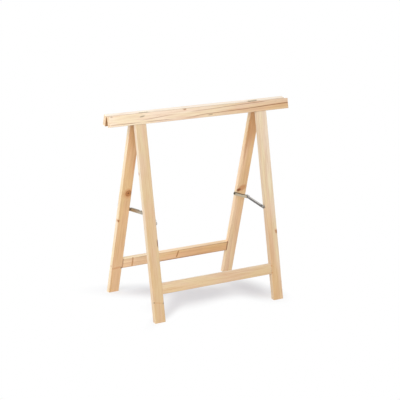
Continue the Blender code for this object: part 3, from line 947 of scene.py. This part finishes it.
# %% Places on the legs
leg_low, leg_high = straight_box("front_right_leg")
outer_face = round(-leg_low.y, 5)
inner_face = round(-leg_high.y, 5)
leg_middle = round((leg_low.x + leg_high.x) / 2, 5)
leg_outside = round(leg_high.x, 5)
print("leg from", round(leg_low.x, 5), "to", leg_outside, "and", inner_face, "to", outer_face)

# %% Plan of the front rail
# A painted sheen for the tops of the rails and stretchers, where the light from above falls.
painted_top_sheen = paint(255, 250, 240)

plans = {}
plans["front_rail"] = {
    "seed": 1.3,
    "heart": (-0.0063, 0.07),
    "drift": 0.0,
    "phase": 0.62,
    "warmth": (-0.05, 0.7),
    "sap": (1, 0.25),
    "narrow": -0.6,
    "narrow_tone": (0.8, painted_top_sheen),
    "inside": 0.9,
    "path": ((0.0, 1.05), (0.24, 0.95), (0.5, 0.77), (0.73, 0.55), (0.89, 0.52), (1.0, 0.45)),
    "lines": (
        dark_year(
            ((0.0, 0.58), (0.45, 0.33), (0.84, 0.08), (1.0, -0.02)),
            ((0.42, 0.0), (0.47, 0.4), (0.72, 0.7), (0.84, 0.75), (0.9, 0.0)),
            0.0018,
        ),
        dark_year(
            ((0.0, 1.05), (0.45, 0.78), (0.52, 0.68), (0.65, 0.665), (0.83, 0.56), (1.0, 0.41)),
            ((0.4, 0.0), (0.47, 0.55), (0.75, 0.75), (0.85, 0.95), (1.0, 1.0)),
            0.0021,
        ),
        dark_year(
            ((0.0, 0.8), (0.19, 0.62), (0.34, 0.42), (1.0, 0.1)),
            ((0.15, 0.0), (0.21, 0.65), (0.3, 0.5), (0.36, 0.0)),
            0.0016,
        ),
        dark_year(
            ((0.0, 0.83), (1.0, 0.83)),
            ((0.0, 0.4), (0.11, 0.9), (0.17, 0.1), (0.22, 0.65), (0.3, 0.75), (0.35, 0.0)),
            0.0018,
        ),
    ),
    "knots": (
        branch((-0.074, outer_face, 0.0042), (0.1, 1, 0.2), 0.0034, 0.35),
    ),
    "marks": (
        oval((-0.075, outer_face, 0.0045), (0.0085, 0.006, 0.004), 0.3),
        oval((-0.2535, outer_face, 0.0148), (0.0125, 0.004, 0.003), 0.55, rise=8),
        oval((0.034, outer_face, 0.035), (0.013, 0.004, 0.0024), 0.5, rise=3),
        oval((-0.378, outer_face, 0.006), (0.006, 0.004, 0.003), 0.35),
    ),
}

# %% Plans of the front legs
foot_orange = paint(212, 152, 100)
# Painted shade for the narrow sides of the front right leg.
painted_side_shade = paint(206, 188, 166)

plans["front_left_leg"] = {
    "seed": 7.9,
    "heart": (0.06, 0.03),
    "warmth": (1.05, 0.68),
    "sap": (1, 0.05),
    "narrow": -0.45,
    "contrast": 0.4,
    "tint": paint(244, 252, 256),
    "knots": (
        branch((-leg_outside, 0.0045, 0.221), (1, 0, 0.2), 0.0035, 0.35, ends=0.006),
    ),
    "marks": (
        oval((-0.2408, outer_face, 0.481), (0.0055, 0.01, 0.019), 0.85, knot_rim),
        oval((-0.281, outer_face, 0.695), (0.004, 0.004, 0.0025), 0.8),
        oval((-0.243, outer_face, 0.702), (0.004, 0.004, 0.0025), 0.8),
        oval((-leg_middle, outer_face, 0.6985), (0.022, 0.006, 0.0022), 0.45, foot_orange, rise=-11),
    ),
}
plans["front_right_leg"] = {
    "seed": 11.2,
    "heart": (-0.035, 0.05),
    "warmth": (0.95, 0.3),
    "sap": (1, 0.45),
    "narrow_tone": (0.6, painted_side_shade),
    "tint": paint(254, 258, 258),
    "knots": (
        branch((0.2832, 0.0185, 0.508), (0.8, 0.4, 0.2), 0.0045, 0.5, ends=0.008),
    ),
    "marks": (
        oval((0.243, outer_face, 0.638), (0.005, 0.004, 0.004), 0.6, foot_orange),
        oval((0.243, outer_face, 0.665), (0.005, 0.004, 0.004), 0.6, foot_orange),
    ),
}

# %% Plans of the two plain battens
plans["front_stretcher"] = {
    "seed": 23.3,
    "heart": (0.05, 0.05),
    "warmth": (0.65, 0.7),
    "sap": (1, 0.1),
    "narrow_tone": (0.35, painted_top_sheen),
    "tint": paint(250, 255, 254),
}
plans["rear_rail"] = {
    "seed": 4.1,
    "heart": (0.05, 0.03),
    "warmth": (-0.3, 0.25),
    "sap": (1, 0.3),
    "narrow_tone": (0.7, painted_top_sheen),
    "contrast": 0.4,
    "inside": 0.9,
}

# %% Plans of the rear legs
branch_streak = paint(214, 144, 92)
# The shade-coloured ovals at the top of the rear legs' inner faces are painted shade, under the rails and
# behind the front legs.
painted_shade_tone = paint(196, 134, 82)

# On the rear legs the tints brighter than white paint light on faces that turn away from the lamps.
plans["rear_left_leg"] = {
    "seed": 15.5,
    "heart": (0.02, 0.06),
    "warmth": (0.88, 1.0),
    "sap": (-1, 0.1),
    "narrow": -0.75,
    "contrast": 0.5,
    "tint": paint(258, 258, 250),
    "knots": (
        branch(
            (-0.254, inner_face, 0.334), (0.25, 1, 0.05), 0.0118, 0.7,
            squeeze=1.0, halo=2.3, rim=0.4, pith=0.9,
        ),
        branch((-0.282, inner_face, 0.449), (0.3, 1, 0.1), 0.0028, 0.8),
    ),
    "marks": (
        oval((-leg_middle, inner_face, 0.05), (0.03, 0.012, 0.11), 0.35, painted_shade_tone),
        oval((-0.247, inner_face, 0.205), (0.005, 0.006, 0.045), 0.35, branch_streak),
        oval((-0.242, 0.002, 0.662), (0.005, 0.006, 0.004), 0.8),
        oval((-leg_outside, 0.011, 0.653), (0.006, 0.005, 0.005), 0.6, branch_streak),
        oval((-leg_middle, inner_face, 0.659), (0.024, 0.008, 0.005), 0.5, branch_streak, rise=6),
    ),
}
plans["rear_right_leg"] = {
    "seed": 19.4,
    "heart": (0.02, 0.07),
    "warmth": (0.45, 0.85),
    "sap": (-1, 0.2),
    "narrow": -0.35,
    "tint": paint(263, 258, 247),
    "marks": (
        oval((leg_middle, inner_face, 0.055), (0.03, 0.012, 0.16), 0.42, painted_shade_tone),
        oval((0.2465, inner_face, 0.165), (0.008, 0.006, 0.11), 0.4, painted_shade_tone),
        oval((leg_middle, inner_face, 0.381), (0.022, 0.006, 0.014), 0.7, branch_streak, rise=25),
        oval((0.2475, inner_face, 0.3885), (0.012, 0.006, 0.0075), 0.95, knot_heart, rise=8),
    ),
}

# %% Plan of the rear stretcher
# The two narrow dark marks at the ends of the rear stretcher are painted shade in its joints with the
# legs, and its tint brighter than white paints light.
plans["rear_stretcher"] = {
    "seed": 27.8,
    "heart": (0.02, 0.05),
    "warmth": (0.6, 1.05),
    "sap": (1, 0.2),
    "narrow": -0.3,
    "narrow_tone": (0.35, painted_top_sheen),
    "tint": paint(265, 260, 248),
    "lines": (
        dark_year(((0.0, 0.05), (1.0, 0.05)), ((0.0, 0.3), (0.45, 0.2), (0.7, 0.5), (1.0, 0.6)), 0.0018),
        dark_year(
            ((0.0, 0.96), (1.0, 0.96)),
            ((0.0, 0.4), (0.25, 0.3), (0.35, 0.95), (0.65, 0.9), (0.8, 0.5), (1.0, 0.4)),
            0.0042,
        ),
    ),
    "marks": (
        oval((0.239, inner_face, 0.6445), (0.0045, 0.006, 0.06), 0.9, grain_line_and_joint_shade),
        oval((-0.239, inner_face, 0.6445), (0.0035, 0.006, 0.06), 0.6, grain_line_and_joint_shade),
    ),
    "knots": (
        branch((-0.196, 0.002, 0.6364), (0, 0.05, 1), 0.0016, 0.45, rim=0.1, pith=0.1),
        branch((0.006, 0.002, 0.6414), (0.2, 0.05, 1), 0.0016, 0.6, rim=0.3, ends=0.013),
    ),
}

# %% Give each batten its pine
for node, piece in finished.items():
    piece.data.materials.append(pine(node, plans[node]))
    print(node, "knots:", len(plans[node].get("knots", ())))

# %% [markdown]
# ## Dowels
#
# Every joint of two battens is held by two beech dowels, which can't be seen. They keep their CAD shape
# and get plain turned beech: close-grained, pinkish, with the short dark flecks that tell beech from
# other woods.

# %% Beech
beech_pale = paint(222, 178, 134)
beech_pink = paint(206, 158, 114)
beech_fleck = paint(150, 98, 62)
cloud_scale = 120.0
fleck_scale = 2200.0


def beech():
    """Turned beech, fine grained, with short dark flecks."""
    material, graph = new_finish("beech")
    place = graph.object_place()
    cloud = graph.noise(place, cloud_scale, 2.0)
    fleck = graph.noise(graph.vector("MULTIPLY", place, (0.25, 1.0, 0.25)), fleck_scale, 1.0)
    tone = graph.mix(graph.between(cloud, 0.3, 0.7), beech_pale, beech_pink)
    tone = graph.mix(graph.between(fleck, 0.6, 0.72, 0.0, 0.6), tone, beech_fleck)
    bump = graph.add("Bump", None, {"Strength": 0.3, "Distance": 0.0002, "Height": fleck})
    sockets = {"Base Color": tone, "Roughness": 0.55 + fleck * 0.15, "Normal": bump}
    surface = graph.add("BsdfPrincipled", None, sockets)
    graph.add("OutputMaterial", None, {"Surface": surface})
    return material


def paint_node(node, material):
    """Gives a CAD node one material."""
    nodes[node].data.materials.clear()
    nodes[node].data.materials.append(material)


beech_finish = beech()
dowels = [name for name in nodes if name.endswith("_dowel")]
for name in dowels:
    paint_node(name, beech_finish)
print("dowels:", len(dowels))

# %% [markdown]
# ## Steel fittings
#
# The stays' arms and the hinge leaves are pressed from thin sheet and zinc plated. Their CAD shapes are
# right, bends, stop tab and rolled knuckles included, but a cut edge in CAD is perfectly sharp and
# catches no light. So each gets a finer piece: a copy of the CAD mesh with its seams merged, its flat
# sides made one face again, and its corners broken by a tenth of a millimetre, as tumbling in the plating
# drum does. Modelling them again from a plane would end at the same shape with more work. Screws, rivets
# and pins keep their CAD mesh, which already has the cross recess.

# %% A copy of a CAD part with broken corners
corner_break = 0.00012
corner_angle = math.radians(50)
flat_angle = math.radians(1)


def tumbled(node):
    """A merged copy of a CAD part with its corners broken and its bends smooth."""
    bpy.ops.object.select_all(action="DESELECT")
    mesh = nodes[node].data.copy()
    mesh.materials.clear()
    piece = bpy.data.objects.new(node + "_pressed", mesh)
    mesh.name = piece.name
    bpy.context.scene.collection.objects.link(piece)
    bpy.context.view_layer.objects.active = piece
    piece.select_set(True)
    bpy.ops.object.mode_set(mode="EDIT")
    bpy.ops.mesh.select_all(action="SELECT")
    bpy.ops.mesh.remove_doubles(threshold=merge_below)
    bpy.ops.mesh.dissolve_limited(angle_limit=flat_angle)
    bpy.ops.object.mode_set(mode="OBJECT")
    modifier = piece.modifiers.new("corners", "BEVEL")
    modifier.width = corner_break
    modifier.segments = 2
    modifier.limit_method = "ANGLE"
    modifier.angle_limit = corner_angle
    bpy.ops.object.modifier_apply(modifier=modifier.name)
    bpy.ops.object.shade_smooth_by_angle(angle=corner_angle)
    return piece


pressed_slots = {"_arm": "zinc_steel", "_leaf": "hinge_steel", "_washer": "zinc_steel"}
pressed = {}
for node in nodes:
    for ending, slot in pressed_slots.items():
        if node.endswith(ending):
            pressed[node] = tumbled(node)
            hand_over(pressed[node], node)
            print(pressed[node].name, len(pressed[node].data.polygons), "faces")

# %% [markdown]
# ### Zinc
#
# Bright zinc plating is a grey mirror that has gone dull. It clouds over in soft blotches, keeps fine
# rolling lines along the sheet, shows pale scratches and gathers a brownish film. Screws are plated and
# then passivated, which leaves a thin yellow film, and most of them are given a dark metal. So one
# function makes all the steels, from a metal colour, a film colour and how much of the metal the film
# covers. The arms differ. On the right arms the fold and the web below it carry painted light and shade:
# the front one has a painted highlight on its folded edge and painted shade below it, the rear one is
# the other way round, dark on its fold and bright below it. The left rear one is dull all over, with a
# darker fold. The left front arm hides behind its leg. What peeps out past the leg, its end and its screw,
# is as pale as the background in the picture, so both are cleaner and brighter than the rest. The two
# hinges are the same zinc, and the left one's paler metal is a painted reflection. The fold is found
# from the line between the arm's pivot and its rivet.

# %% Where an arm is folded
fold_depth = 0.0019
fold_blur = 0.0004
main_run = 0.8


def fold_mask(graph, place, node):
    """1 on the folded edge along the upper side of an arm."""
    hand, _, side, _ = node.split("_")
    joint = next(joint for joint in frame["joints"] if joint["name"] == f"{hand}_{side}_arm_pivot")
    pivot = Vector(joint["pos_m"])
    rivet = nodes[hand + "_stay_rivet_head"].data.vertices
    along = sum((vertex.co for vertex in rivet), Vector()) / len(rivet) - pivot
    up = Vector((0, -along.z, along.y)).normalized()
    if up.z < 0:
        up = -up
    near = [vertex.co - pivot for vertex in nodes[node].data.vertices]
    top = max(point.dot(up) for point in near if point.length < main_run * along.length)
    height = graph.vector("DOT_PRODUCT", graph.vector("SUBTRACT", place, pivot), up, output=1)
    return graph.between(height, top - fold_depth - fold_blur, top - fold_depth)


# %% Zinc plated steel
film_scale = 330.0
rolled_scale = 3600.0
scratch_scale = 1900.0
pale_scratch = paint(214, 214, 210)


def zinc(name, steel, arm=None):
    """Plated steel: metal under a clouded film, with rolling lines and scratches."""
    material, graph = new_finish(name)
    place = graph.object_place()
    cloud = graph.noise(place, film_scale, 3.0, 0.6)
    rolled = graph.noise(graph.vector("MULTIPLY", place, (1.0, 0.05, 1.0)), rolled_scale, 2.0)
    scratch = graph.noise(graph.vector("MULTIPLY", place, (1.0, 1.0, 0.08)), scratch_scale, 1.0)
    filmed = graph.between(cloud, 0.62 - steel["cover"], 0.9 - steel["cover"])
    bare = graph.between(scratch, 0.7, 0.76)
    metal = steel["metal"]
    if arm:
        # On the right arms the fold colour and the metal below it are painted light and shade.
        metal = graph.mix(fold_mask(graph, place, arm), metal, steel["fold"])
    tone = graph.mix(filmed * 0.5, metal, steel["film"])
    tone = graph.mix(graph.between(rolled, 0.35, 0.7, 0.0, 0.3), tone, steel["film"])
    tone = graph.mix(bare * 0.5, tone, pale_scratch)
    relief = rolled - bare * 0.5
    bump = graph.add("Bump", None, {"Strength": 0.25, "Distance": 0.0001, "Height": relief})
    rough = steel["rough"] + filmed * 0.16 - bare * 0.12
    sockets = {"Base Color": tone, "Metallic": 1.0 - filmed * 0.25, "Roughness": rough, "Normal": bump}
    surface = graph.add("BsdfPrincipled", None, sockets)
    graph.add("OutputMaterial", None, {"Surface": surface})
    return material


# %% The steels
def plated(metal, film, cover, rough, fold=None):
    """A steel: metal and film colours, the film's cover, roughness, and the fold's colour."""
    return {"metal": metal, "film": film, "cover": cover, "rough": rough, "fold": fold}


steels = {
    "left_front_arm": plated(paint(224, 221, 214), paint(180, 173, 160), 0.08, 0.42, paint(212, 208, 200)),
    "left_rear_arm": plated(paint(194, 187, 172), paint(138, 129, 114), 0.12, 0.4, paint(152, 146, 134)),
    "right_front_arm": plated(paint(116, 114, 112), paint(96, 92, 86), 0.12, 0.36, paint(206, 205, 202)),
    "right_rear_arm": plated(paint(204, 190, 164), paint(120, 110, 92), 0.1, 0.4, paint(84, 80, 72)),
    "zinc_steel": plated(paint(176, 172, 166), paint(108, 99, 84), 0.1, 0.34),
    # The left hinge's paler metal is a painted reflection; both hinges are the same zinc.
    "left_hinge": plated(paint(232, 224, 206), paint(206, 192, 166), 0.06, 0.38),
    "right_hinge": plated(paint(212, 200, 178), paint(168, 152, 126), 0.1, 0.38),
    "screw_steel": plated(paint(92, 84, 68), paint(66, 56, 42), 0.12, 0.36),
}
for node, piece in pressed.items():
    hand = node.split("_")[0]
    ending = "_" + node.split("_")[-1]
    kind = pressed_slots[ending]
    if ending == "_arm":
        kind = node.replace("_stay", "")
    elif ending == "_leaf":
        kind = hand + "_hinge"
    elif node.startswith("left_stay_front"):
        kind = "left_front_arm"
    arm = node if ending == "_arm" else None
    piece.data.materials.append(zinc(f"{pressed_slots[ending]}_{node}", steels[kind], arm))
print("steels:", len(steels), "for", len(pressed), "pressed pieces")

# %% Screws, rivets and pins
# The last two take the stays' front screws out of the first.
small_parts = {
    "_screw": "screw_steel",
    "_rivet_head": "zinc_steel",
    "_rivet_tail": "zinc_steel",
    "_pin": "right_hinge",
    "left_stay_front_screw": "left_front_arm",
    "right_stay_front_screw": "zinc_steel",
}
for ending, kind in small_parts.items():
    finish = zinc("plated_" + ending.strip("_"), steels[kind])
    members = [name for name in nodes if name.endswith(ending)]
    for name in members:
        paint_node(name, finish)
    print(kind, "on", len(members), "parts that end with", ending)

# %% [markdown]
# ## The finished size
#
# The finer pieces must not make the trestle bigger than its CAD model, so its box is measured again.

# %% Measure the finished trestle
low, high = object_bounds()
